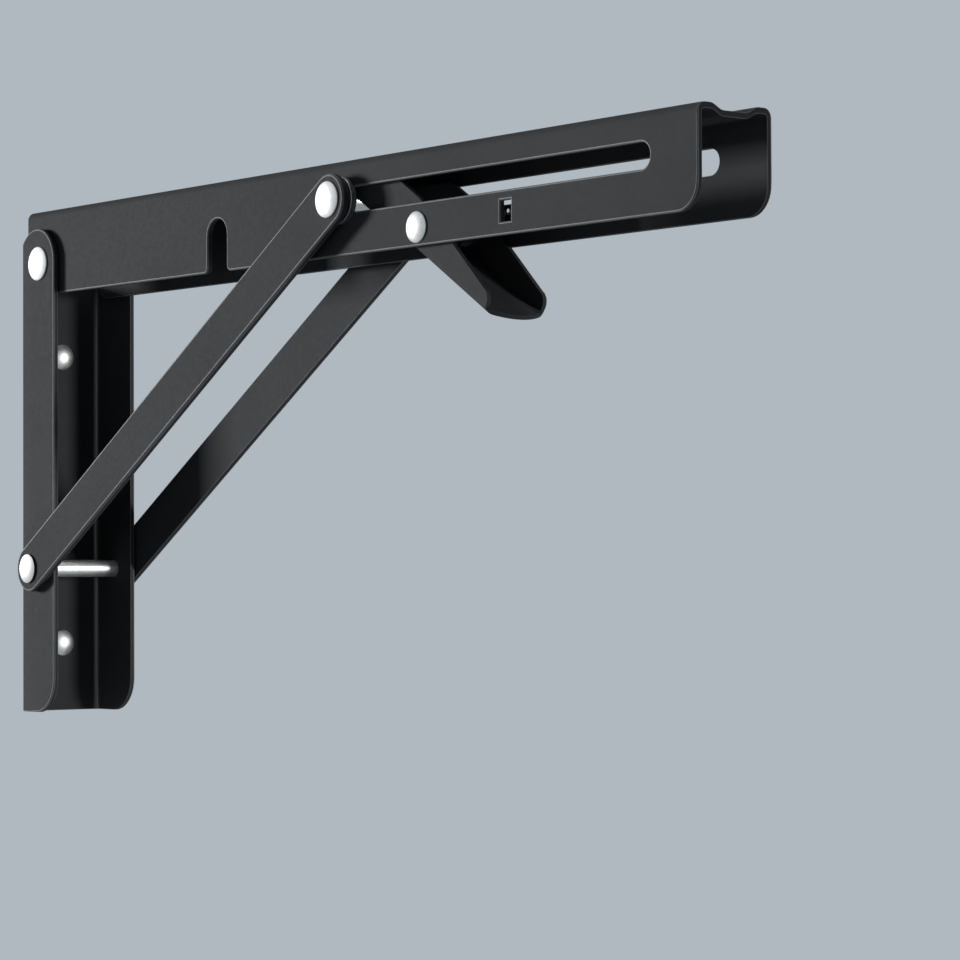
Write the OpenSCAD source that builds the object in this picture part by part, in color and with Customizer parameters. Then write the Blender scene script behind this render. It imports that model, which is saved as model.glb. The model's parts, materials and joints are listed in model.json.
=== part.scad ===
// Folding shelf bracket, 300 mm arm, pressed steel.
// X points out from the wall along the arm, Z points up, and Y runs across.
// The origin lies on the wall face, halfway between the two wall screws.
// The bracket is drawn open, with the arm level and the lever latched.

/* [Arm] */
// Distance from the wall to the tip of the arm. The struts, slot and lever follow it.
arm_reach = 300; // [270:1:340]
// Gap between the wall and the back end of the arm
arm_back = 1.2; // [0.8:0.1:1.6]
// Height of the arm
arm_h = 25; // [24:0.1:26]
// Thickness of the arm's sheet
arm_sheet = 1.5; // [1.2:0.1:1.6]
// Outside radius of the arm's two bends
arm_bend = 2.4; // [2:0.1:2.8]
// Distance from the arm's top down to the hinge
hinge_down = 16; // [15.8:0.1:17]
// Depth of the pressed groove along the arm's top
groove_depth = 1.6; // [1:0.1:2.2]
// Width of the flat shoulder on each side of the groove, with its bend
groove_shoulder = 4.1; // [3.6:0.1:5]
// Width of the groove's flat floor
groove_floor_w = 6.6; // [6.2:0.1:8]
// Radius of the rounded lower corners at the arm's tip
tip_r = 7; // [4:0.5:9]
// Diameter of the shelf screw holes
shelf_screw_d = 5; // [4:0.1:5.6]
// Distance from each end of the arm to its nearest shelf screw hole
shelf_screw_end = 35; // [30:1:45]

/* [Wall plate] */
// Width across the two flanges of the wall plate. The arm and the lever fit inside it.
plate_w = 27.9; // [25:0.1:32]
// How far the flanges stand out from the wall
plate_depth = 19.8; // [19:0.1:23]
// Thickness of the plate's sheet
plate_sheet = 1.5; // [1.2:0.1:1.6]
// Outside radius of the plate's two bends
plate_bend = 3.2; // [2:0.1:3.2]
// Height of the hinge above the origin
hinge_z = 69.3; // [66:0.1:80]
// Rise of each ear above the hinge
ear_rise = 10.4; // [10:0.1:13]
// Distance from the plate's lower edge up to the struts' pivot
plate_foot = 42.2; // [38:0.1:50]
// Distance from the hinge down to the top edge of the plate's back
back_drop = 4.5; // [3:0.1:9]
// Distance between the two wall screws
wall_screw_gap = 85.4; // [70:0.1:90]
// Diameter of the wall screw holes
wall_screw_d = 4.6; // [4:0.1:6]

/* [Slot and notch] */
// Distance from the arm's top down to the slot's centreline
slot_down = 10.7; // [10:0.1:11]
// Height of the slot
slot_h = 6.4; // [6.4:0.1:7]
// Width of the notch that clears the struts' pivot pin
notch_w = 9.4; // [9:0.1:10.6]
// Distance from the arm's top down to the notch's round end
notch_down = 10.3; // [9:0.1:11]
// How far the notch's middle lies beyond the pivot pin, which enters it from the hinge's side
notch_shift = 1.4; // [0.4:0.1:1.6]
// Radius of the notch's mouth corners
notch_mouth_r = 1.6; // [1:0.1:2.5]

/* [Struts] */
// Width of each strut
strut_w = 13.5; // [12:0.1:14.4]
// Thickness of each strut
strut_t = 2; // [1.5:0.1:3]
// Distance of the struts' lower pivot from the wall
strut_x = 10.2; // [9:0.1:11]
// Drop of the struts' lower pivot below the hinge, as a share of the arm's reach
strut_drop_share = 0.2995; // [0.29:0.0005:0.31]
// Distance from the wall to the slide pin when the bracket is open, as a share of the arm's reach
pin_share = 0.539; // [0.53:0.001:0.545]

/* [Pins and washers] */
// Diameter of the hinge pin
hinge_pin_d = 5; // [4:0.1:6]
// Diameter of the hinge pin's heads
hinge_head_d = 9.8; // [9:0.1:12]
// Diameter of the struts' pivot pin
strut_pin_d = 5; // [4:0.1:6]
// Diameter of the struts' pivot pin's heads
strut_head_d = 8.4; // [8:0.1:8.6]
// Diameter of the slide pins
slide_pin_d = 5; // [4.6:0.1:6.3]
// Diameter of the studs that rivet the slide pins' heads to the struts
stud_d = 5; // [4:0.1:6]
// Diameter of the studs' heads
stud_head_d = 9.3; // [8:0.1:11]
// Height of the domed heads
head_h = 1.7; // [1:0.1:2.4]
// Height of the rim under each dome
head_rim = 0.5; // [0.3:0.1:1]
// Outside diameter of the flat washers
washer_d = 12.4; // [10:0.1:12.8]
// Thickness of the washers between the plate and the arm
hinge_washer_t = 0.6; // [0.4:0.1:1]
// Thickness of the washers between the plate and the struts
strut_washer_t = 0.7; // [0.5:0.1:1.2]
// Thickness of the washers on the slide pins
slide_washer_t = 1.8; // [0.8:0.1:2.2]
// Thickness of the washers between the arm and the lever
lever_washer_t = 0.55; // [0.4:0.05:0.8]

/* [Release lever] */
// Distance from the slide pin to the lever's pivot
catch_reach = 31.8; // [30:0.1:34]
// Distance from the arm's top down to the lever's pivot
lever_down = 20.2; // [20:0.1:20.4]
// Thickness of the lever's sheet
lever_sheet = 1.2; // [1:0.1:1.4]
// Length of the handle from below the pivot to its tip
handle_len = 36; // [30:0.2:37]
// Slope of the lever's back below the level. It is also the lever's travel: pressed, it lies level.
handle_slope = 32; // [30:0.5:33]
// Distance from the pivot down to the lever's back, square to it
handle_back = 6.6; // [6.4:0.1:6.8]
// Depth of the cheeks below the pivot, square to the back
cheek_root = 11.3; // [10:0.1:11.5]
// Depth of the cheeks at the tip
cheek_tip = 5.2; // [4:0.1:6.5]
// Radius of the cheeks' round corners at the tip
handle_tip_r = 3; // [1.5:0.1:4]
// How far the round end of the lever's back runs out beyond the cheeks, as a lip for the finger
handle_lip = 3.2; // [1.5:0.1:4.5]
// Outside radius of the lever's two folds
lever_bend = 2; // [1.5:0.1:2.4]
// Diameter of the lever's pivot rivet
lever_pin_d = 4; // [3.4:0.1:4.2]
// Diameter of the lever rivet's heads
lever_head_d = 7.8; // [7:0.1:9]

/* [Spring] */
// Diameter of the spring's wire
wire_d = 1; // [0.8:0.1:1.1]
// Number of turns in the coil
spring_turns = 5; // [3:1:7]
// Distance from the lever's pivot to the hole that holds the spring's leg
anchor_reach = 35.9; // [35.6:0.1:40]
// Distance from the arm's top down to the middle of that hole
anchor_down = 19.1; // [17.5:0.1:19.5]
// Length of the spring's hole along the arm
anchor_w = 4.2; // [3:0.1:5]
// Height of the spring's hole
anchor_h = 5.3; // [4:0.1:6]

/* [Hidden] */
$fn = 64;

// Radial play of a turning fit, and the side play between parts that move past each other
fit = 0.05;
play = 0.1;
// How far a cutting tool runs past the face that it cuts
over = 1;
// Steps in a quarter bend, and in one side of the pressed groove
bend_steps = 6;
wave_steps = 8;
// Sides of the spring's wire and points in each of its turns
wire_sides = 8;
turn_steps = 20;

left = -1;
right = 1;

// Side faces, measured from the middle plane: each channel and its washers fit inside the last
plate_side = plate_w / 2;
plate_inside = plate_side - plate_sheet;
arm_side = plate_inside - hinge_washer_t - 2 * play;
arm_inside = arm_side - arm_sheet;
lever_side = arm_inside - lever_washer_t - play;
strut_inside = plate_side + strut_washer_t + play;
strut_outside = strut_inside + strut_t;

// Places along the arm
strut_drop = strut_drop_share * arm_reach;
pin_x = pin_share * arm_reach;
lever_x = pin_x + catch_reach;
anchor_x = lever_x + anchor_reach;

// The arm's corner by the hinge is round about the pin, and the gap keeps the folded arm and the
// pressed lever off the wall
heel_gap = 0.7;
heel_r = arm_h - hinge_down;
hinge_x = plate_sheet + heel_r + heel_gap;

// Heights that follow from the hinge
arm_top = hinge_z + hinge_down;
arm_foot = arm_top - arm_h;
slot_z = arm_top - slot_down;
strut_z = hinge_z - strut_drop;
lever_z = arm_top - lever_down;
anchor_z = arm_top - anchor_down;

// The strut's length, its slope when open, and where its pin ends up in the folded arm
strut_len = norm([pin_x - strut_x, slot_z - strut_z]);
strut_slope = atan2(slot_z - strut_z, pin_x - strut_x);
folded_offset = hinge_x + hinge_down - slot_down - strut_x;
folded_drop = sqrt(strut_len * strut_len - folded_offset * folded_offset);
pin_folded_x = hinge_x + strut_drop + folded_drop;
// How far the middle of each round slot end lies beyond the pin's last place
end_room = 0.3;
slot_start = pin_x - end_room;
slot_end = pin_folded_x + end_room;
notch_x = hinge_x + strut_drop + notch_shift;

// A rod across the bracket from one side face to the other
module cross_rod(d, from_y, to_y) {
    translate([0, from_y, 0]) rotate([-90, 0, 0]) cylinder(d = d, h = to_y - from_y);
}

// A domed rivet head on a side face, standing out on the given side
module rivet_head(d, face, side) {
    dome_h = head_h - head_rim;
    dome_r = (d * d / 4 + dome_h * dome_h) / (2 * dome_h);
    translate([0, side * face, 0]) rotate([side * -90, 0, 0]) {
        cylinder(d = d, h = head_rim);
        translate([0, 0, head_rim]) intersection() {
            cylinder(d = d, h = dome_h);
            translate([0, 0, dome_h - dome_r]) sphere(r = dome_r, $fn = 96);
        }
    }
}

// A pin right across the bracket with a domed head at each end
module headed_pin(d, head_d, face) {
    cross_rod(d, -face, face);
    rivet_head(head_d, face, left);
    rivet_head(head_d, face, right);
}

// A flat washer round a pin, between two distances from the middle plane
module washer(od, id, near, far, side) {
    low = side > 0 ? near : -far;
    difference() {
        cross_rod(od, low, low + far - near);
        cross_rod(id, low - over, low + far - near + over);
    }
}

// A hole through the whole width at the origin
module cross_hole(d) {
    cross_rod(d, -plate_w, plate_w);
}

// A block that runs right across the bracket
module cross_block(x0, x1, z0, z1) {
    translate([x0, -plate_w, z0]) cube([x1 - x0, 2 * plate_w, z1 - z0]);
}

// Cuts a square outside corner down to a round one. dx and dz point towards the corner.
module round_corner(x, z, r, dx, dz) {
    cx = x - dx * r;
    cz = z - dz * r;
    difference() {
        cross_block(min(cx, x + dx * over), max(cx, x + dx * over), min(cz, z + dz * over), max(cz, z + dz * over));
        translate([cx, 0, cz]) cross_rod(2 * r, -plate_w - over, plate_w + over);
    }
}

function arc_points(cy, cz, r, from_deg, to_deg, steps) =
    [for (i = [0:steps]) let(a = from_deg + (to_deg - from_deg) * i / steps) [cy + r * cos(a), cz + r * sin(a)]];

// Wall plate: a channel that opens away from the wall, with an ear above it on each side
function plate_outline(side_y, back_x, r) = concat(
    [[plate_depth + over, -side_y]],
    arc_points(back_x + r, -side_y + r, r, 270, 180, bend_steps),
    arc_points(back_x + r, side_y - r, r, 180, 90, bend_steps),
    [[plate_depth + over, side_y]]);

module plate_channel(z0, z1) {
    inner_bend = plate_bend - plate_sheet;
    translate([0, 0, z0]) linear_extrude(height = z1 - z0) difference() {
        polygon(plate_outline(plate_side, 0, plate_bend));
        polygon(plate_outline(plate_inside, plate_sheet, inner_bend));
    }
}

module wall_plate() {
    foot_z = strut_z - plate_foot;
    ear_r = plate_depth / 2;
    ear_top = hinge_z + ear_rise;
    color("#46474a") difference() {
        plate_channel(foot_z, ear_top);
        // front edge of the flanges
        cross_block(plate_depth, plate_depth + 2 * over, foot_z - over, ear_top + over);
        // the plate's back ends below the arm
        translate([-over, -plate_inside, hinge_z - back_drop])
            cube([plate_depth + 2 * over, 2 * plate_inside, ear_top]);
        cross_block(-over, 0, hinge_z - back_drop, ear_top + over);
        round_corner(plate_depth, ear_top, ear_r, 1, 1);
        round_corner(0, ear_top, ear_r, -1, 1);
        round_corner(plate_depth, foot_z, ear_r, 1, -1);
        for (z = [-wall_screw_gap / 2, wall_screw_gap / 2])
            translate([-over, 0, z]) rotate([0, 90, 0]) cylinder(d = wall_screw_d, h = plate_sheet + 2 * over);
        translate([hinge_x, 0, hinge_z]) cross_hole(hinge_pin_d);
        translate([strut_x, 0, strut_z]) cross_hole(strut_pin_d);
    }
}

// Arm: a channel that opens downwards, with a pressed groove along its top
groove_side = arm_side - groove_shoulder;

function groove_z(y) = let(a = groove_side, b = groove_floor_w / 2, s = abs(y))
    s >= a ? 0 : s <= b ? -groove_depth : -groove_depth * (1 + cos(180 * (s - b) / (a - b))) / 2;

function groove_run(drop) =
    let(a = groove_side, b = groove_floor_w / 2)
    concat(
        [for (i = [0:wave_steps]) let(y = -a + (a - b) * i / wave_steps) [y, groove_z(y) - drop]],
        [for (i = [0:wave_steps]) let(y = b + (a - b) * i / wave_steps) [y, groove_z(y) - drop]]);

function arm_skin(side_y, drop, r) = concat(
    arc_points(-side_y + r, -r - drop, r, 180, 90, bend_steps),
    groove_run(drop),
    arc_points(side_y - r, -r - drop, r, 90, 0, bend_steps));

function reversed(points) = [for (i = [len(points) - 1:-1:0]) points[i]];

module arm_section() {
    outer = arm_skin(arm_side, 0, arm_bend);
    inner = arm_skin(arm_inside, arm_sheet, arm_bend - arm_sheet);
    polygon(concat(
        [[-arm_side, -arm_h]], outer, [[arm_side, -arm_h], [arm_inside, -arm_h]],
        reversed(inner), [[-arm_inside, -arm_h]]));
}

module slot_cutter() {
    for (x = [slot_start, slot_end]) translate([x, 0, slot_z]) cross_hole(slot_h);
    cross_block(slot_start, slot_end, slot_z - slot_h / 2, slot_z + slot_h / 2);
}

module notch_cutter() {
    top_z = arm_top - notch_down - notch_w / 2;
    translate([notch_x, 0, top_z]) cross_hole(notch_w);
    cross_block(notch_x - notch_w / 2, notch_x + notch_w / 2, arm_foot - over, top_z);
    for (s = [-1, 1]) round_corner(notch_x + s * notch_w / 2, arm_foot, notch_mouth_r, -s, -1);
}

// The arm's heel is round about the hinge pin
module heel_cutter() {
    difference() {
        cross_block(-over, hinge_x, arm_foot - over, hinge_z);
        translate([hinge_x, 0, hinge_z]) cross_rod(2 * heel_r, -plate_w - over, plate_w + over);
    }
}

module arm_channel() {
    shelf_screw_step = (arm_reach - 2 * shelf_screw_end) / 2;
    color("#46474a") difference() {
        translate([arm_back, 0, arm_top]) rotate([90, 0, 90])
            linear_extrude(height = arm_reach - arm_back) arm_section();
        slot_cutter();
        notch_cutter();
        heel_cutter();
        round_corner(arm_reach, arm_foot, tip_r, 1, -1);
        translate([hinge_x, 0, hinge_z]) cross_hole(hinge_pin_d + 2 * fit);
        translate([lever_x, 0, lever_z]) cross_hole(lever_pin_d);
        // only the left flange has the spring's hole
        translate([anchor_x - anchor_w / 2, -arm_side - over, anchor_z - anchor_h / 2])
            cube([anchor_w, arm_side, anchor_h]);
        for (i = [0:2]) translate([shelf_screw_end + i * shelf_screw_step, 0, arm_top - arm_h / 2])
            cylinder(d = shelf_screw_d, h = arm_h);
    }
}

module hinge_pin() {
    color("#d8dadc") translate([hinge_x, 0, hinge_z]) headed_pin(hinge_pin_d, hinge_head_d, plate_side);
}

module hinge_washer(side) {
    color("#b8babc") translate([hinge_x, 0, hinge_z])
        washer(washer_d, hinge_pin_d, arm_side + play, plate_inside - play, side);
}

// Struts: flat bars with round ends, outside both channels
module strut(side) {
    low = side > 0 ? strut_inside : -strut_outside;
    color("#434447") translate([strut_x, 0, strut_z]) rotate([0, -strut_slope, 0]) difference() {
        union() {
            cross_rod(strut_w, low, low + strut_t);
            translate([strut_len, 0, 0]) cross_rod(strut_w, low, low + strut_t);
            translate([0, low, -strut_w / 2]) cube([strut_len, strut_t, strut_w]);
        }
        cross_hole(strut_pin_d + 2 * fit);
        translate([strut_len, 0, 0]) cross_hole(stud_d);
    }
}

module strut_pin() {
    color("#d8dadc") translate([strut_x, 0, strut_z])
        headed_pin(strut_pin_d, strut_head_d, strut_outside + play);
}

module strut_washer(side) {
    color("#b8babc") translate([strut_x, 0, strut_z])
        washer(washer_d, strut_pin_d, plate_side, strut_inside - play, side);
}

// The stud is riveted through the strut's upper eye
module strut_stud(side) {
    low = side > 0 ? strut_inside : -strut_outside;
    color("#d8dadc") translate([pin_x, 0, slot_z]) {
        cross_rod(stud_d, low, low + strut_t);
        rivet_head(stud_head_d, strut_outside, side);
    }
}

// The slide pin runs in the arm's slot, behind the strut's upper eye
module slide_pin(side) {
    inner_y = arm_inside + play;
    outer_y = strut_inside - play;
    low = side > 0 ? inner_y : -outer_y;
    color("#d8dadc") translate([pin_x, 0, slot_z]) cross_rod(slide_pin_d, low, low + outer_y - inner_y);
}

// Its washer runs along the arm's outside
module slide_washer(side) {
    inner_y = arm_side + play;
    color("#b8babc") translate([pin_x, 0, slot_z])
        washer(washer_d, slide_pin_d, inner_y, inner_y + slide_washer_t, side);
}

// Release lever, drawn about its pivot: a folded channel. Its cheeks run on past the pivot, up to
// a catch that hooks over the slide pin. Its lower edge is one straight line.
catch_room = 0.3;
// How far the catch reaches back over the pin, and how far it rises above the slot
catch_hook = 2;
catch_rise = 1.1;
// Where the cheeks' edge drops from the catch, and where it reaches the slot's lower side
ramp_start = -9.8;
ramp_end = -1.8;
// Where the lever's back starts, along the handle from the pivot
back_start = -2;
cheek_len = handle_len - handle_lip;
handle_dir = [cos(handle_slope), -sin(handle_slope)];
handle_out = [sin(handle_slope), cos(handle_slope)];
// A point given along the handle and out from its back
function on_handle(along, out) = along * handle_dir + (out - handle_back) * handle_out;
// Height of the lever's straight lower edge
function back_z(x) = (-handle_back - x * sin(handle_slope)) / cos(handle_slope);

module lever_outline() {
    slot_middle = lever_down - slot_down;
    slot_top = slot_middle + slot_h / 2;
    catch_x = slide_pin_d / 2 - catch_reach;
    // the ramp is level with the pin's path when the lever is pressed
    ramp_x = ramp_start - catch_rise / tan(handle_slope);
    ramp_foot = slot_top - (ramp_end - ramp_start) * tan(handle_slope);
    polygon(concat(
        [[catch_x, back_z(catch_x)],
         [catch_x - catch_hook, slot_top + catch_rise],
         [ramp_x, slot_top + catch_rise],
         [ramp_end, ramp_foot],
         on_handle(0, cheek_root)],
        [for (i = [bend_steps:-1:0]) let(a = 90 * i / bend_steps)
            on_handle(cheek_len - handle_tip_r * (1 - cos(a)), cheek_tip - handle_tip_r * (1 - sin(a)))],
        [on_handle(cheek_len, lever_sheet),
         on_handle(handle_len, lever_sheet),
         on_handle(handle_len, 0)]));
}

// Places a tool that is drawn along the handle, with its back at zero height
module along_handle() {
    rotate([0, handle_slope, 0]) translate([0, 0, -handle_back]) children();
}

// Rounds the fold between the lever's back and one cheek
module fold_cutter(side) {
    centre_y = lever_side - lever_bend;
    mirror([0, side < 0 ? 1 : 0, 0]) translate([back_start, 0, 0]) rotate([90, 0, 90])
        linear_extrude(height = handle_len - back_start + over) polygon(concat(
            [[centre_y, -over]],
            arc_points(centre_y, lever_bend, lever_bend, 270, 360, bend_steps),
            [[lever_side + over, lever_bend], [lever_side + over, -over]]));
}

// Cuts the lip beyond the cheeks to one wide arc, as seen square to the lever's back
module lip_cutter() {
    arc_r = (lever_side * lever_side + handle_lip * handle_lip) / (2 * handle_lip);
    difference() {
        translate([cheek_len, -plate_w, -over]) cube([handle_lip + over, 2 * plate_w, lever_sheet + 2 * over]);
        translate([handle_len - arc_r, 0, -2 * over]) cylinder(r = arc_r, h = lever_sheet + 4 * over, $fn = 128);
    }
}

module release_lever() {
    inner_y = lever_side - lever_sheet;
    reach = pin_x;
    color("#434447") translate([lever_x, 0, lever_z]) difference() {
        translate([0, lever_side, 0]) rotate([90, 0, 0])
            linear_extrude(height = 2 * lever_side) lever_outline();
        along_handle() {
            // the space between the cheeks, open all through behind the lever's back
            translate([back_start - over, -inner_y, lever_sheet]) cube([reach, 2 * inner_y, reach]);
            translate([back_start - reach, -inner_y, -reach / 2]) cube([reach, 2 * inner_y, reach]);
            for (side = [left, right]) fold_cutter(side);
            lip_cutter();
        }
        cross_hole(lever_pin_d + 2 * fit);
        // the catch's face is round about the slide pin
        translate([-catch_reach, 0, lever_down - slot_down]) cross_hole(slide_pin_d + 2 * catch_room);
    }
}

module lever_rivet() {
    color("#d8dadc") translate([lever_x, 0, lever_z]) headed_pin(lever_pin_d, lever_head_d, arm_side);
}

module lever_washer(side) {
    color("#b8babc") translate([lever_x, 0, lever_z])
        washer(lever_head_d, lever_pin_d, lever_side + play / 2, arm_inside - play / 2, side);
}

// Torsion spring: a coil round the lever's rivet, a leg to the hole in the left flange,
// and a leg on the lever's back
coil_r = lever_pin_d / 2 + wire_d / 2 + 0.2 * wire_d;
coil_len = spring_turns * 1.15 * wire_d;
coil_turn = 360 * spring_turns + 90;
coil_start_y = -coil_len / 2;
// The long leg runs inside the lever's cheek, and turns out to its hole in a bend of this radius
leg_y = -lever_side + lever_sheet + 1.2 * wire_d;
leg_bend = 2 * wire_d;
// The short leg ends on the lever's back, this far along the handle
foot_along = 7;

function coil_point(a) = [
    lever_x + coil_r * sin(a), coil_start_y + coil_len * a / coil_turn, lever_z + coil_r * cos(a)];

function along_y(p, y) = [lever_x + p[0], y, lever_z + p[1]];

spring_path = concat(
    [[anchor_x, -arm_side + arm_sheet / 2, anchor_z]],
    [for (i = [0:bend_steps]) let(a = 90 * i / bend_steps)
        [anchor_x - leg_bend * (1 - cos(a)), leg_y - leg_bend * (1 - sin(a)), anchor_z]],
    [[lever_x + 4 * coil_r, coil_start_y - 1.5 * wire_d, lever_z + coil_r]],
    [for (i = [0:turn_steps * (spring_turns + 0.25)]) coil_point(i * 360 / turn_steps)],
    [along_y(on_handle(foot_along, lever_sheet + 2 * wire_d), -coil_start_y),
     along_y(on_handle(foot_along + wire_d, lever_sheet + wire_d / 2), -coil_start_y)]);

function unit(v) = v / norm(v);
spring_ref = unit([0, 1, 1]);
function path_dir(i) = unit(
    spring_path[min(i + 1, len(spring_path) - 1)] - spring_path[max(i - 1, 0)]);
function wire_ring(i) =
    let(d = path_dir(i), u = unit(cross(d, spring_ref)), v = cross(d, u))
    [for (k = [0:wire_sides - 1]) let(a = 360 * k / wire_sides)
        spring_path[i] + wire_d / 2 * (cos(a) * u + sin(a) * v)];

module lever_spring() {
    rings = len(spring_path);
    points = [for (i = [0:rings - 1]) each wire_ring(i)];
    walls = [for (i = [0:rings - 2]) for (k = [0:wire_sides - 1])
        let(n = (k + 1) % wire_sides)
        [i * wire_sides + k, i * wire_sides + n, (i + 1) * wire_sides + n, (i + 1) * wire_sides + k]];
    start_cap = [for (k = [wire_sides - 1:-1:0]) k];
    end_cap = [for (k = [0:wire_sides - 1]) (rings - 1) * wire_sides + k];
    color("#c9cbcd") polyhedron(points, concat(walls, [start_cap], [end_cap]));
}

wall_plate();
arm_channel();
hinge_pin();
hinge_washer(left);  // hinge_washer_left
hinge_washer(right);  // hinge_washer_right
strut(left);  // strut_left
strut(right);  // strut_right
strut_pin();
strut_washer(left);  // strut_washer_left
strut_washer(right);  // strut_washer_right
strut_stud(left);  // strut_stud_left
strut_stud(right);  // strut_stud_right
slide_pin(left);  // slide_pin_left
slide_pin(right);  // slide_pin_right
slide_washer(left);  // slide_washer_left
slide_washer(right);  // slide_washer_right
release_lever();
lever_rivet();
lever_washer(left);  // lever_washer_left
lever_washer(right);  // lever_washer_right
lever_spring();
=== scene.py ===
# %% [markdown]
# # A folding shelf bracket
# The bracket holds a shelf board level on its arm and folds flat down the wall when the lever under
# the arm is pressed. Everything here is sheet steel and rivets, so the lesson is about three things:
# the soft edge that punched and coated sheet has, domed rivets that are bright enough to show a
# facet, and a black finish that isn't simply black.
#
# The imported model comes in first. Its nodes are the fixed frame that every piece below sits on.

import json
import math

import bpy
from mathutils import Matrix, Vector


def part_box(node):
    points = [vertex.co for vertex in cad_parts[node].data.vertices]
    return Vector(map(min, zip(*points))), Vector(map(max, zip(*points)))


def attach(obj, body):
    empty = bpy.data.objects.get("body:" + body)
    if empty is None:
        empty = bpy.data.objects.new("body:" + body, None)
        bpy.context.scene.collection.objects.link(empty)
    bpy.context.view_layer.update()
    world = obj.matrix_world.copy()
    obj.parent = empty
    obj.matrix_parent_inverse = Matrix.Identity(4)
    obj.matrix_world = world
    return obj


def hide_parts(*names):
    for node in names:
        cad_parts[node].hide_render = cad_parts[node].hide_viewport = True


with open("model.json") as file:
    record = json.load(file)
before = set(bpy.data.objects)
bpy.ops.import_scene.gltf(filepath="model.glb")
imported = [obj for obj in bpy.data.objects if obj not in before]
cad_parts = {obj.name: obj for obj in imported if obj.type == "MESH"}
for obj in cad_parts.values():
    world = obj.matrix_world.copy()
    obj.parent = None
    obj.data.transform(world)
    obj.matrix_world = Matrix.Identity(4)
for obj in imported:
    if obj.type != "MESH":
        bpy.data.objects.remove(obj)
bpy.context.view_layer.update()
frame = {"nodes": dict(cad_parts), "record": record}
MM = 0.001
print("nodes:", len(frame["nodes"]))

# %% [markdown]
# ## The camera
# The photograph was taken from the right of the bracket's open side, a little below the arm, with a
# long lens. The camera's place was worked out from the arm's and the plate's straight edges. It is
# made first, because every later choice is looked at through it. Its three axes are built from the
# direction it looks in, which is easier to reason about than three Euler angles.

# %% Camera
CAMERA_PLACE = Vector((877.7, -527.7, -22.7)) * MM
CAMERA_TURN = math.radians(141.924)
CAMERA_PITCH = math.radians(1.585)
CAMERA_ROLL = math.radians(-0.251)
CAMERA_LENS_MM = 127.3


def looking(turn, pitch, roll):
    """Rotation of a camera that looks along a turn about Z and a pitch up."""
    ahead = Vector((math.cos(pitch) * math.cos(turn), math.cos(pitch) * math.sin(turn), math.sin(pitch)))
    level = Vector((math.sin(turn), -math.cos(turn), 0))
    up = level.cross(ahead)
    side = level * math.cos(roll) + up * math.sin(roll)
    return Matrix((side, side.cross(ahead), -ahead)).transposed()


bpy.ops.object.select_all(action="DESELECT")
bpy.ops.object.camera_add(location=CAMERA_PLACE)
camera = bpy.context.object
camera.name = "photo_camera"
camera.rotation_euler = looking(CAMERA_TURN, CAMERA_PITCH, CAMERA_ROLL).to_euler()
camera.data.lens = CAMERA_LENS_MM
camera.data.clip_end = 100
bpy.context.scene.camera = camera
seen_along = camera.rotation_euler.to_matrix() @ Vector((0, 0, -1))
print("camera looks along", [round(v, 3) for v in seen_along])

# %% [markdown]
# ## Colour and nodes
# Colours are written as the hex values one would read off a screen, and one function turns them into
# the linear values that shaders need. Another adds a shader node with its settings and its links, so
# that each material below reads as a list of what it is made of.

# %% Helpers for materials
NOISE_ENDS = (0.3, 0.7)


def linear(hex_colour):
    """An sRGB hex colour as the linear RGBA that sockets take."""
    parts = [int(hex_colour[i:i + 2], 16) / 255 for i in (1, 3, 5)]
    return tuple(c / 12.92 if c <= 0.04045 else ((c + 0.055) / 1.055) ** 2.4 for c in parts) + (1.0,)


def add_node(tree, kind, inputs=None, **settings):
    """Adds a node. An input may be a value, or the output socket of another node."""
    node = tree.nodes.new(kind)
    for key, value in settings.items():
        setattr(node, key, value)
    for key, value in (inputs or {}).items():
        if isinstance(value, bpy.types.NodeSocket):
            tree.links.new(value, node.inputs[key])
        else:
            node.inputs[key].default_value = value
    return node


def new_material(name, **shader):
    """A material with a Principled shader. Constant values are set on the shader's own sockets."""
    material = bpy.data.materials.new(name)
    material.use_nodes = True
    tree = material.node_tree
    principled = tree.nodes["Principled BSDF"]
    for key, value in shader.items():
        principled.inputs[key.replace("_", " ")].default_value = value
    return material, tree, principled


def fade(tree, factor, dark, light, ends=(0.0, 1.0)):
    """A colour between two hex colours, driven by a factor that runs from one end to the other."""
    ramp = add_node(tree, "ShaderNodeValToRGB", {"Fac": factor})
    for element, colour, end in zip(ramp.color_ramp.elements, (dark, light), ends):
        element.color = linear(colour)
        element.position = end
    return ramp.outputs["Color"]


def spread(tree, value, low_high):
    """A value between two limits, from the part of a noise where nearly all of it lies."""
    return add_node(tree, "ShaderNodeMapRange", {
        "Value": value, "From Min": NOISE_ENDS[0], "From Max": NOISE_ENDS[1],
        "To Min": low_high[0], "To Max": low_high[1]}).outputs["Result"]


def noise(tree, place, size_mm, detail):
    """A noise whose grains have a real size, on Object coordinates in metres."""
    return add_node(tree, "ShaderNodeTexNoise", {
        "Vector": place, "Scale": 1 / (size_mm * MM), "Detail": detail}).outputs["Fac"]


print("coat colour in linear:", [round(c, 4) for c in linear("#37383a")[:3]])
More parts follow.
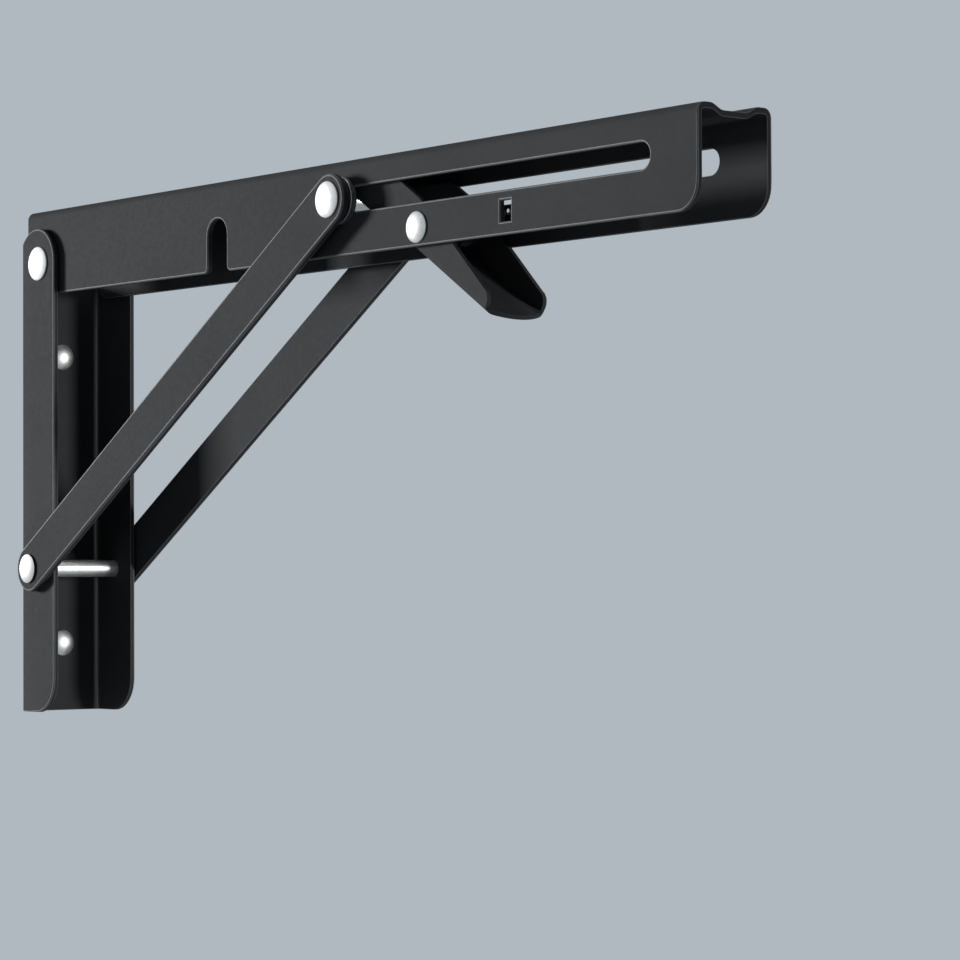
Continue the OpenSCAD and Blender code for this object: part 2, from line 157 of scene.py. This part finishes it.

# %% [markdown]
# ## Black powder coat
# The channels, struts and lever are pressed from steel sheet, then sprayed with black powder that is
# melted in an oven. The melt is about 0.08 mm thick. It draws smooth but not flat: the skin has a soft
# orange peel about 1.5 mm from one swell to the next, with a finer grain between. To the eye that is a
# dark grey with a broad dull shine, never a mirror.
#
# The same coat is made three times, because its thickness changes what the eye gets:
#
# - On the faces it is dull, and its shine is so broad that the black reads as one even dark grey.
# - On a sharp edge the hot melt pulls back, so the coat there is thin and the steel shows a little.
#   The rounds get a lighter grey, partly for that thin coat and partly as a painted highlight, so
#   every rolled edge is drawn as a fine pale outline.
# - In the inside of a bend the melt pools thick and smooth. It is glossy there, and a black corner
#   gets one bright line down its length.
#
# The colour barely changes, so a slow noise only moves it a few steps, and the peel is bump. The
# finer grain is drawn at 0.35 mm, which is coarser than real powder, because finer would not show.

# %% Powder coat
PEEL_MM = 1.5
GRAIN_MM = 0.35
CLOUD_MM = 28
GRAIN_SHARE = 0.35
BLACK = ("#37383a", "#3d3e40")
# The lighter grey of the edge rounds is partly thin coat and partly a painted highlight.
THIN_COAT_AND_HIGHLIGHT_GREY = ("#5e5f61", "#6a6b6d")


def powder_coat(name, colours, rough, specular, swell_mm=0.02):
    """A coat between two hex colours. rough is (lowest, highest), and swell_mm the peel's depth."""
    material, tree, shader = new_material(name, Specular_IOR_Level=specular)
    place = add_node(tree, "ShaderNodeTexCoord").outputs["Object"]
    cloud = noise(tree, place, CLOUD_MM, 3.0)
    peel = noise(tree, place, PEEL_MM, 1.0)
    grain = noise(tree, place, GRAIN_MM, 2.0)
    mixed = add_node(tree, "ShaderNodeMix", {"Factor": GRAIN_SHARE, "A": cloud, "B": grain})
    colour = fade(tree, mixed.outputs["Result"], *colours, ends=NOISE_ENDS)
    tree.links.new(colour, shader.inputs["Base Color"])
    tree.links.new(spread(tree, peel, rough), shader.inputs["Roughness"])
    fine = add_node(tree, "ShaderNodeBump", {
        "Height": grain, "Strength": 0.2, "Distance": swell_mm / 2 * MM})
    swell = add_node(tree, "ShaderNodeBump", {
        "Height": peel, "Strength": 0.4, "Distance": swell_mm * MM, "Normal": fine.outputs["Normal"]})
    tree.links.new(swell.outputs["Normal"], shader.inputs["Normal"])
    return material


coat = powder_coat("dull_black_powder_coat", BLACK, (0.66, 0.72), 0.03)
# The edge coat's lighter grey is partly a painted highlight.
edge_coat_and_highlight = powder_coat("thin_coat_and_painted_highlight_on_edges", THIN_COAT_AND_HIGHLIGHT_GREY, (0.5, 0.58), 0.2)
bend_coat = powder_coat("thick_coat_in_bends", BLACK, (0.28, 0.32), 0.6, swell_mm=0.001)
print("made", coat.name, edge_coat_and_highlight.name, bend_coat.name)

# %% [markdown]
# ## Nickel plate, zinc plate and spring wire
# - The rivets are cold-headed steel with a satin nickel plate. To the eye each head is a small warm
#   white dome that shades off softly to one side, and it is the brightest thing on the bracket.
# - The washers are stamped and zinc-plated: bluer, greyer and a little sharper, with a fine
#   crystalline grain. Only their rims are seen, as thin pale crescents beside the black.
# - The spring wire is drawn through a die and oiled. It is dark, with streaks along its length.
#
# They are three settings of the same idea, a metal whose roughness and bump come from a noise of
# the grain's real size, so one function makes all three.

# %% Plated metals


def plated_metal(name, colours, rough, grain_mm, depth_mm, stretch=(1, 1, 1)):
    """A metal whose grain changes its colour and roughness a little. rough is (lowest, highest)."""
    material, tree, shader = new_material(name, Metallic=1.0)
    place = add_node(tree, "ShaderNodeTexCoord").outputs["Object"]
    laid = add_node(tree, "ShaderNodeMapping", {"Vector": place, "Scale": stretch})
    grain = noise(tree, laid.outputs["Vector"], grain_mm, 3.0)
    tree.links.new(fade(tree, grain, *colours), shader.inputs["Base Color"])
    tree.links.new(spread(tree, grain, rough), shader.inputs["Roughness"])
    bump = add_node(tree, "ShaderNodeBump", {"Height": grain, "Strength": 0.4, "Distance": depth_mm * MM})
    tree.links.new(bump.outputs["Normal"], shader.inputs["Normal"])
    return material


WARM_WHITE = ("#dddcd8", "#ebeae7")
COOL_GREY = ("#a9acae", "#c3c5c7")
OILED_STEEL = ("#5a5b5e", "#6b6c6f")
ALONG_X = (0.2, 1, 1)
nickel = plated_metal("satin_nickel_plate", WARM_WHITE, (0.42, 0.48), 1.2, 0.004)
zinc = plated_metal("clear_zinc_plate", COOL_GREY, (0.28, 0.42), 0.6, 0.01)
wire_metal = plated_metal("drawn_spring_wire", OILED_STEEL, (0.6, 0.7), 0.4, 0.01, ALONG_X)
print("made", nickel.name, zinc.name, wire_metal.name)

# %% [markdown]
# ## Pressed sheet with soft edges
# The CAD solids of the channels, struts and lever have the right shape, but their edges are knife
# sharp. A punch drags the sheet's outer skin down into a round of about a third of its thickness,
# called the die roll, and leaves the inner edge nearly square. The rounds catch the light in a fine
# bright line along the outside edges of the photograph, which the inner edges lack.
#
# A CAD node's own mesh stays as it is, so each is copied. The copy's loose triangles are merged and
# its flat faces are dissolved to single faces. Each edge that turns sharply then gets a bevel weight:
# 1 on the outside face, a small share inside, and a slide from one to the other over the sheet's
# thickness. A sudden step in weight would make the end face's outline cross itself, which shows as a
# black band. Pressed bends turn gently, and get no weight. Where the end of a bend is cut at a slant,
# its edge stays sharp, because its narrow strips leave a bevel no room.
#
# The inside of the plate's bends gets the glossy coat, as faces and not as a pattern.

# %% Helpers for shaping
DIE_ROLL = 0.32
ROLL_STEPS = 3
INNER_EDGE = 0.15 * MM
ROLL_FADE = 1.2 * MM
MERGE = 0.002 * MM
FLAT = math.radians(0.5)
SHARP = math.radians(35)
SLANTED = 0.5
BY_ANGLE = "ANGLE"
BY_WEIGHT = "WEIGHT"
# The slot of the lighter edge coat, which is partly a painted highlight.
EDGE_COAT_AND_HIGHLIGHT_SLOT = 1
BEND_SLOT = 2


def only(piece):
    """Selects one object and makes it active."""
    bpy.ops.object.select_all(action="DESELECT")
    piece.select_set(True)
    bpy.context.view_layer.objects.active = piece


def copy_of(node, name, *finishes):
    """A mesh copy of a CAD node, merged and with its flat faces made whole."""
    source = frame["nodes"][node]
    piece = bpy.data.objects.new(name, source.data.copy())
    bpy.context.scene.collection.objects.link(piece)
    piece.data.name = name
    piece.data.materials.clear()
    for finish in finishes:
        piece.data.materials.append(finish)
    for face in piece.data.polygons:
        face.material_index = 0
    only(piece)
    bpy.ops.mesh.customdata_custom_splitnormals_clear()
    bpy.ops.object.mode_set(mode="EDIT")
    bpy.ops.mesh.select_all(action="SELECT")
    bpy.ops.mesh.remove_doubles(threshold=MERGE)
    bpy.ops.mesh.dissolve_limited(angle_limit=FLAT)
    bpy.ops.object.mode_set(mode="OBJECT")
    return piece


def apply_bevel(piece, width, segments, method, edge_slot=-1, clamp=True):
    """Bevels by angle or by weight. Hardened normals keep the flats flat beside the new rounds."""
    only(piece)
    rounding = piece.modifiers.new("soft edges", "BEVEL")
    rounding.width = width
    rounding.segments = segments
    rounding.limit_method = method
    rounding.angle_limit = SHARP
    rounding.use_clamp_overlap = clamp
    rounding.harden_normals = True
    # The rounds may take their own slot; on the pressed sheet it holds the lighter edge coat, partly a
    # painted highlight.
    rounding.material = edge_slot
    bpy.ops.object.shade_smooth_by_angle(angle=SHARP)
    bpy.ops.object.modifier_apply(modifier=rounding.name)


def leans(normal):
    """True for the faces of a bend, which lie between a web and a cheek."""
    return 0.1 < abs(normal.y) < 0.98


def weigh_edges(piece, roll):
    """Full weight on the sharp edges of the outside faces, which fades to a small one inwards."""
    mesh = piece.data
    places = [vertex.co.copy() for vertex in mesh.vertices]
    runs = [places[edge.vertices[1]] - places[edge.vertices[0]] for edge in mesh.edges]
    along = max(runs, key=lambda run: run.length).normalized()
    widest = max(abs(place.y) for place in places)
    least = INNER_EDGE / roll
    normals = {}
    for face in mesh.polygons:
        for key in face.edge_keys:
            normals.setdefault(key, []).append(face.normal)
    weights = mesh.attributes.new("bevel_weight_edge", "FLOAT", "EDGE")
    marked = 0
    for edge, run in zip(mesh.edges, runs):
        pair = normals[tuple(sorted(edge.vertices))]
        slanted = abs(run.normalized().dot(along)) > SLANTED
        if slanted and any(leans(normal) for normal in pair):
            continue
        if len(pair) == 2 and pair[0].angle(pair[1]) > SHARP:
            depth = widest - min(abs(places[i].y) for i in edge.vertices)
            share = max(0.0, 1.0 - depth / ROLL_FADE)
            weights.data[edge.index].value = least + (1.0 - least) * share
            marked += share > 0.9
    return marked


def gloss_bends(piece):
    """Gives the inside of each bend its own coat."""
    bends = [face for face in piece.data.polygons if leans(face.normal)]
    inside = [face for face in bends if face.normal.y * face.center.y < 0]
    for face in inside:
        face.material_index = BEND_SLOT
    return len(inside)


def finish_piece(piece, body, slot, *nodes):
    """Gives a piece its body and hides the CAD nodes that it stands for. The slot is not used."""
    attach(piece, body)
    if nodes:
        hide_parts(*nodes)
    print(piece.name, len(piece.data.polygons), "faces on", body)


# %% [markdown]
# Each pressed piece is named with its body, its object's name and the thickness of its sheet. The
# lever is the only one whose bevel is held back to what its shortest edges allow, because a full one
# would draw spikes out of the corners where its fold ends.

# %% The five pressed pieces
PRESSED = {
    "wall_plate": ("wall_plate", "plate_shell", 1.5 * MM),
    "arm_channel": ("arm", "arm_shell", 1.5 * MM),
    "strut_left": ("struts", "strut_bar_left", 2 * MM),
    "strut_right": ("struts", "strut_bar_right", 2 * MM),
    "release_lever": ("lever", "lever_shell", 1.2 * MM),
}
for node, (body, name, sheet) in PRESSED.items():
    shell = copy_of(node, name, coat, edge_coat_and_highlight, bend_coat)
    roll = DIE_ROLL * sheet
    if node == "wall_plate":
        print(name, gloss_bends(shell), "faces inside bends")
    print(name, weigh_edges(shell, roll), "outside edges")
    # The rounds take the lighter edge coat, which is partly a painted highlight.
    apply_bevel(shell, roll, ROLL_STEPS, BY_WEIGHT, EDGE_COAT_AND_HIGHLIGHT_SLOT, clamp=node == "release_lever")
    finish_piece(shell, body, "black_powder_coat", node)

# %% [markdown]
# ## Domed rivets
# A rivet head is a shallow cap of a large ball on a low straight rim. Its light comes from the whole
# room in one small picture, so facets or a hard rim spoil it at once. The head starts as a UV sphere
# of the cap's own radius. It is cut at the rim with bisect, the cut edge is drawn out to make the
# rim, and that edge is beveled.
#
# Each head is made at the origin looking up, then stood on its side face. Two heads and a shank are
# joined to one rivet, because they are one piece of steel.

# %% Rivet helpers
HEAD_H = 1.7 * MM
HEAD_RIM = 0.5 * MM
HEAD_BEVEL = 0.22 * MM
SHANK_BEVEL = 0.15 * MM
AT_RIM = 0.0001 * MM


def middle_of(node):
    """The middle of a CAD node's box."""
    low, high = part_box(node)
    return (low + high) / 2


def select_verts(piece, test):
    """Leaves edit mode, selects the vertices that pass a test, and goes back in."""
    bpy.ops.object.mode_set(mode="OBJECT")
    for part in (piece.data.vertices, piece.data.edges, piece.data.polygons):
        part.foreach_set("select", [False] * len(part))
    for vertex in piece.data.vertices:
        vertex.select = test(vertex.co)
    bpy.ops.object.mode_set(mode="EDIT")
    bpy.ops.mesh.select_mode(type="VERT")


def rivet_head(name, diameter, height=HEAD_H, rim=HEAD_RIM):
    """A domed head that stands on the XY plane about the origin."""
    dome = height - rim
    ball = (diameter ** 2 / 4 + dome ** 2) / (2 * dome)
    bpy.ops.object.select_all(action="DESELECT")
    bpy.ops.mesh.primitive_uv_sphere_add(
        segments=72, ring_count=96, radius=ball, location=(0, 0, height - ball))
    head = bpy.context.object
    head.name = name
    head.data.name = name
    bpy.ops.object.transform_apply(location=True, rotation=True, scale=True)
    bpy.ops.object.mode_set(mode="EDIT")
    bpy.ops.mesh.select_all(action="SELECT")
    bpy.ops.mesh.bisect(plane_co=(0, 0, rim), plane_no=(0, 0, 1), clear_inner=True)
    select_verts(head, lambda co: co.z < rim + AT_RIM)
    bpy.ops.mesh.extrude_region_move(TRANSFORM_OT_translate={"value": (0, 0, -rim)})
    bpy.ops.mesh.edge_face_add()
    bpy.ops.mesh.select_all(action="SELECT")
    bpy.ops.mesh.normals_make_consistent(inside=False)
    bpy.ops.object.mode_set(mode="OBJECT")
    apply_bevel(head, HEAD_BEVEL, 4, BY_ANGLE)
    return head


def shank(name, diameter, from_y, to_y):
    """A round bar across the bracket, with a small chamfer at each end."""
    bpy.ops.object.select_all(action="DESELECT")
    bpy.ops.mesh.primitive_cylinder_add(
        vertices=64, radius=diameter / 2, depth=to_y - from_y,
        location=(0, (from_y + to_y) / 2, 0), rotation=(math.radians(90), 0, 0))
    bar = bpy.context.object
    bar.name = name
    bpy.ops.object.transform_apply(location=True, rotation=True, scale=True)
    apply_bevel(bar, SHANK_BEVEL, 2, BY_ANGLE)
    return bar


def stand_on_face(head, side, face):
    """Turns a head so that it stands out from a side face. side is -1 for left and 1 for right."""
    head.data.transform(Matrix.Rotation(math.radians(-90 * side), 4, "X"))
    head.data.transform(Matrix.Translation((0, side * face, 0)))


def finished(piece, name, place, finish):
    """Names a piece, moves its mesh to a place in the XZ plane, and gives it one finish."""
    piece.name = name
    piece.data.name = name
    piece.data.transform(Matrix.Translation((place.x, 0, place.z)))
    piece.data.materials.clear()
    piece.data.materials.append(finish)
    return piece


def joined(parts):
    """Joins parts to one object, which is the first of them."""
    only(parts[0])
    for part in parts:
        part.select_set(True)
    bpy.ops.object.join()
    return bpy.context.object


# %% The three rivets that run right across
RIVETS = {
    "hinge_pin": ("hinge_rivet", "wall_plate", 9.8 * MM, 5 * MM),
    "strut_pin": ("strut_rivet", "wall_plate", 8.4 * MM, 5 * MM),
    "lever_rivet": ("lever_pivot", "arm", 7.8 * MM, 4 * MM),
}
for node, (name, body, head_d, pin_d) in RIVETS.items():
    low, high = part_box(node)
    face = high.y - HEAD_H
    parts = [shank(name, pin_d, -face, face)]
    for side in (-1, 1):
        head = rivet_head(name + "_head", head_d)
        stand_on_face(head, side, face)
        parts.append(head)
    rivet = finished(joined(parts), name, middle_of(node), nickel)
    finish_piece(rivet, body, "plated_rivet", node)

# %% [markdown]
# ## The struts' upper rivets
# At the top, each strut carries a stud with the same kind of head. Behind it the slide pin runs in
# the arm's slot, with a washer against the strut. On the real bracket the slide pin is one bar right
# across the arm, which the lever's catch hooks over. The CAD model keeps only its two ends, so the
# visible pin is made whole here and rides with them.

# %% Studs
STUD_D = 5 * MM
STUD_HEAD_D = 9.3 * MM
for side, word in ((-1, "left"), (1, "right")):
    node = "strut_stud_" + word
    low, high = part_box(node)
    inner, outer = sorted((abs(low.y), abs(high.y)))
    face = outer - HEAD_H
    head = rivet_head("stud_head_" + word, STUD_HEAD_D)
    stand_on_face(head, side, face)
    from_y, to_y = sorted((side * inner, side * face))
    parts = [shank("stud_" + word, STUD_D, from_y, to_y), head]
    stud = finished(joined(parts), "strut_rivet_top_" + word, middle_of(node), nickel)
    finish_piece(stud, "struts", "plated_rivet", node)

# %% Slide pin
low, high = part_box("slide_pin_left")
bar = shank("bar", high.x - low.x, low.y, -low.y)
slide_bar = finished(bar, "slide_pin_bar", middle_of("slide_pin_left"), nickel)
finish_piece(slide_bar, "slide_pins", "plated_rivet", "slide_pin_left", "slide_pin_right")

# %% [markdown]
# ## Washers
# Flat washers are stamped, so their edges are a little rounded. Each starts as a copy of its CAD ring
# and gets the same kind of bevel as the sheet, only smaller. They are narrow, but a rim of one is
# what the photograph shows between strut and arm.

# %% Washers
WASHER_BEVEL = 0.12 * MM
WASHERS = {
    "hinge_washer": "wall_plate",
    "strut_washer": "wall_plate",
    "slide_washer": "slide_pins",
    "lever_washer": "arm",
}
for stem, body in WASHERS.items():
    for word in ("left", "right"):
        node = f"{stem}_{word}"
        ring = copy_of(node, f"{stem}_ring_{word}", zinc)
        apply_bevel(ring, WASHER_BEVEL, 2, BY_ANGLE)
        finish_piece(ring, body, "zinc_washer", node)

# %% [markdown]
# ## Heads of the wall screws
# The photograph shows a bright round head in the middle of the plate's back, once above the struts'
# pivot and once below. They aren't part of the bracket, so the CAD model has only their holes, but
# they belong to the picture and ride with the plate. Their places come from the record's mount.

# %% Wall screw heads
SCREW_HEAD_D = 7.6 * MM
SCREW_HEAD_H = 1.7 * MM
SCREW_HEAD_RIM = 0.35 * MM
PLATE_SHEET = 1.5 * MM
TO_FRONT = Matrix.Rotation(math.radians(90), 4, "Y")
wall_mount = [m for m in frame["record"]["mounts"] if m["name"] == "wall_screws"][0]
half_gap = wall_mount["dims"]["spacing_y_mm"] * MM / 2
for side, word in ((-1, "lower"), (1, "upper")):
    head = rivet_head("wall_screw_head_" + word, SCREW_HEAD_D, SCREW_HEAD_H, SCREW_HEAD_RIM)
    head.data.transform(TO_FRONT)
    head.data.transform(Matrix.Translation((PLATE_SHEET, 0, side * half_gap)))
    head.data.materials.clear()
    head.data.materials.append(nickel)
    finish_piece(head, "wall_plate", "plated_rivet")

# %% [markdown]
# ## The lever's spring
# The torsion spring is one wire. From the square hole in the near flange it runs back inside the
# lever's cheek, winds five and a half times round the rivet, and ends on the lever's back. The path
# is a list of points by formula, drawn as a round curve of the wire's own radius and then turned into
# a mesh.
# Coil and foot stay within 5.4 mm of the rivet's axis, so the lever's back turns past them freely.

# %% The spring's path
WIRE = 1 * MM
COIL_R = 2.7 * MM
COIL_LENGTH = 5.75 * MM
TURNS = 5.5
STEPS = 28
HOLE_FROM_PIVOT = 35.9 * MM
HOLE_ABOVE_PIVOT = 1.1 * MM
HOLE_END_Y = -10.7 * MM
LEG_Y = -7.1 * MM
LEG_BEND = 2 * MM
BEND_STEPS = 8
HANDLE_SLOPE = math.radians(32)
HANDLE_BACK = 6.6 * MM
FOOT = ((0.6 * MM, 2.6 * MM), (-0.6 * MM, 1.8 * MM))


def on_handle(along, out):
    """A point on the lever's handle, from the pivot: along it, and out from its back."""
    run, rise = math.cos(HANDLE_SLOPE), math.sin(HANDLE_SLOPE)
    out -= HANDLE_BACK
    return Vector((along * run + out * rise, 0, out * run - along * rise))


def spring_path():
    """Points from the hole, along the long leg, round the coil and down the short leg."""
    pivot = middle_of("lever_rivet")
    hole = pivot + Vector((HOLE_FROM_PIVOT, 0, HOLE_ABOVE_PIVOT))
    points = [Vector((hole.x, HOLE_END_Y, hole.z))]
    for i in range(BEND_STEPS + 1):
        a = math.radians(90 * i / BEND_STEPS)
        inward, across = LEG_BEND * (1 - math.cos(a)), LEG_BEND * (1 - math.sin(a))
        points.append(Vector((hole.x - inward, LEG_Y - across, hole.z)))
    points.append(pivot + Vector((4 * COIL_R, -COIL_LENGTH / 2 - 1.5 * WIRE, COIL_R)))
    count = round(STEPS * TURNS)
    for i in range(count + 1):
        a = math.radians(360 * i / STEPS)
        across = COIL_LENGTH * (i / count - 0.5)
        points.append(pivot + Vector((COIL_R * math.sin(a), across, COIL_R * math.cos(a))))
    for along, out in FOOT:
        points.append(pivot + on_handle(along, out) + Vector((0, COIL_LENGTH / 2, 0)))
    return points


path = spring_path()
print("spring path:", len(path), "points")

# %% Draw the wire
bpy.ops.object.select_all(action="DESELECT")
bpy.ops.curve.primitive_nurbs_path_add(location=(0, 0, 0))
wire = bpy.context.object
wire.name = "spring_wire"
wire.data.splines.clear()
line = wire.data.splines.new("POLY")
line.points.add(len(path) - 1)
for point, co in zip(line.points, path):
    point.co = (*co, 1)
wire.data.bevel_depth = WIRE / 2
wire.data.bevel_resolution = 4
wire.data.use_fill_caps = True
only(wire)
bpy.ops.object.convert(target="MESH")
wire = bpy.context.object
wire.data.name = "spring_wire"
bpy.ops.object.shade_smooth_by_angle(angle=SHARP)
wire.data.materials.append(wire_metal)
finish_piece(wire, "arm", "spring_wire", "lever_spring")

# %% [markdown]
# ## Floor and backdrop
# The photograph has a plain pale ground with no floor line. The floor lies well below the bracket
# and takes its shadow near it. Further out it fades, for the camera and for reflections, into the
# same plain colour as the world behind it. From below it can be seen through, so that the bracket's
# underside can be looked at too.

# %% Floor and world
GROUND = "#b0b9c0"
FLOOR_Z = -0.4
FLOOR_R = 30
SHADOW_CORE = 0.4
SHADOW_REACH = 1.4
LEAST_GLOW = 0.6
FILL = 0.015


def background_rays(tree):
    """1 for rays that look at the background: from the camera, off metal, or through glass."""
    path = add_node(tree, "ShaderNodeLightPath").outputs
    seen = path["Is Camera Ray"]
    for kind in ("Is Glossy Ray", "Is Transmission Ray"):
        seen = add_node(tree, "ShaderNodeMath", {0: seen, 1: path[kind]}, operation="MAXIMUM").outputs[0]
    return seen


def floor_material():
    """A matt floor that fades into the plain ground where the shadow ends, and is open from below."""
    material, tree, shader = new_material("pale_matt_floor", Base_Color=linear(GROUND), Roughness=0.9)
    place = add_node(tree, "ShaderNodeTexCoord").outputs["Object"]
    far = add_node(tree, "ShaderNodeVectorMath", {0: place}, operation="LENGTH")
    away = add_node(tree, "ShaderNodeMapRange", {
        "Value": far.outputs["Value"], "From Min": SHADOW_CORE, "From Max": SHADOW_REACH,
        "To Min": LEAST_GLOW, "To Max": 1.0})
    share = add_node(tree, "ShaderNodeMath", {
        0: away.outputs["Result"], 1: background_rays(tree)}, operation="MULTIPLY")
    glow = add_node(tree, "ShaderNodeEmission", {"Color": linear(GROUND), "Strength": 1.0})
    mix = add_node(tree, "ShaderNodeMixShader", {
        0: share.outputs[0], 1: shader.outputs["BSDF"], 2: glow.outputs["Emission"]})
    clear = add_node(tree, "ShaderNodeBsdfTransparent")
    under = add_node(tree, "ShaderNodeNewGeometry").outputs["Backfacing"]
    sides = add_node(tree, "ShaderNodeMixShader", {
        0: under, 1: mix.outputs["Shader"], 2: clear.outputs["BSDF"]})
    tree.links.new(sides.outputs["Shader"], tree.nodes["Material Output"].inputs["Surface"])
    return material


bpy.ops.object.select_all(action="DESELECT")
bpy.ops.mesh.primitive_circle_add(vertices=96, radius=FLOOR_R, fill_type="NGON", location=(0, 0, FLOOR_Z))
floor = bpy.context.object
floor.name = "floor"
floor.data.materials.append(floor_material())

world = bpy.data.worlds.new("plain_ground")
bpy.context.scene.world = world
world.use_nodes = True
tree = world.node_tree
tree.nodes.clear()
fill = add_node(tree, "ShaderNodeBackground", {"Color": linear("#ffffff"), "Strength": FILL})
seen = add_node(tree, "ShaderNodeBackground", {"Color": linear(GROUND), "Strength": 1.0})
mix = add_node(tree, "ShaderNodeMixShader", {
    0: background_rays(tree), 1: fill.outputs["Background"], 2: seen.outputs["Background"]})
add_node(tree, "ShaderNodeOutputWorld", {"Surface": mix.outputs["Shader"]})
print("world and floor in", GROUND)

# %% [markdown]
# ## Light
# The near faces are evenly lit from low on the left, and the ear, the rivets and the strut throw
# crisp shadows to the right, so the main light is small and far away. The insides of the channels
# stay nearly black, which leaves no room for a broad fill. A weak light beside the camera shows only
# in the rounded edges that face it. A narrow spot from the far right reaches past the far flange to
# the cross pin and to the near half of the plate's back. The light high behind can't be seen in the
# photograph's view, since the arm keeps it off everything below: it is for the floor and for the top
# and far side of the bracket.

# %% Lights
AIM = Vector((0.14, 0, 0.03))
PLATE_AIM = Vector((0, 0, -0.005))
SPOT_BLEND = 0.4
SPOT_SOFT = 0.14


def aimed(lamp, name, target, away, distance):
    """Puts a lamp at a distance from its target and turns it to look there."""
    lamp.name = name
    lamp.location = target + away * distance
    lamp.rotation_euler = away.to_track_quat("Z", "Y").to_euler()
    print(name, "at", [round(v, 2) for v in lamp.location])


def soft_light(name, direction, distance, size, power):
    """A square area light that faces the bracket. direction points from the bracket to the light."""
    bpy.ops.object.select_all(action="DESELECT")
    bpy.ops.object.light_add(type="AREA")
    lamp = bpy.context.object
    lamp.data.size = size
    lamp.data.energy = power
    aimed(lamp, name, AIM, Vector(direction).normalized(), distance)


def spot_light(name, direction, distance, angle, power):
    """A spot on the wall plate, with an opening angle in degrees and soft borders."""
    bpy.ops.object.select_all(action="DESELECT")
    bpy.ops.object.light_add(type="SPOT")
    lamp = bpy.context.object
    lamp.data.spot_size = math.radians(angle)
    lamp.data.spot_blend = SPOT_BLEND
    lamp.data.shadow_soft_size = SPOT_SOFT
    lamp.data.energy = power
    aimed(lamp, name, PLATE_AIM, Vector(direction).normalized(), distance)


soft_light("low_left_light", (-0.83, -0.56, 0.10), 6.0, 1.3, 500)
soft_light("camera_side_light", (0.60, -0.80, 0.02), 5.0, 1.0, 6)
soft_light("high_back_light", (0.0, 0.40, 0.92), 5.0, 2.0, 60)
spot_light("plate_spot", (0.899, 0.438, 0.02), 1.2, 18, 34)

# %% View settings
bpy.context.scene.view_settings.view_transform = "Standard"
print("view transform:", bpy.context.scene.view_settings.view_transform)
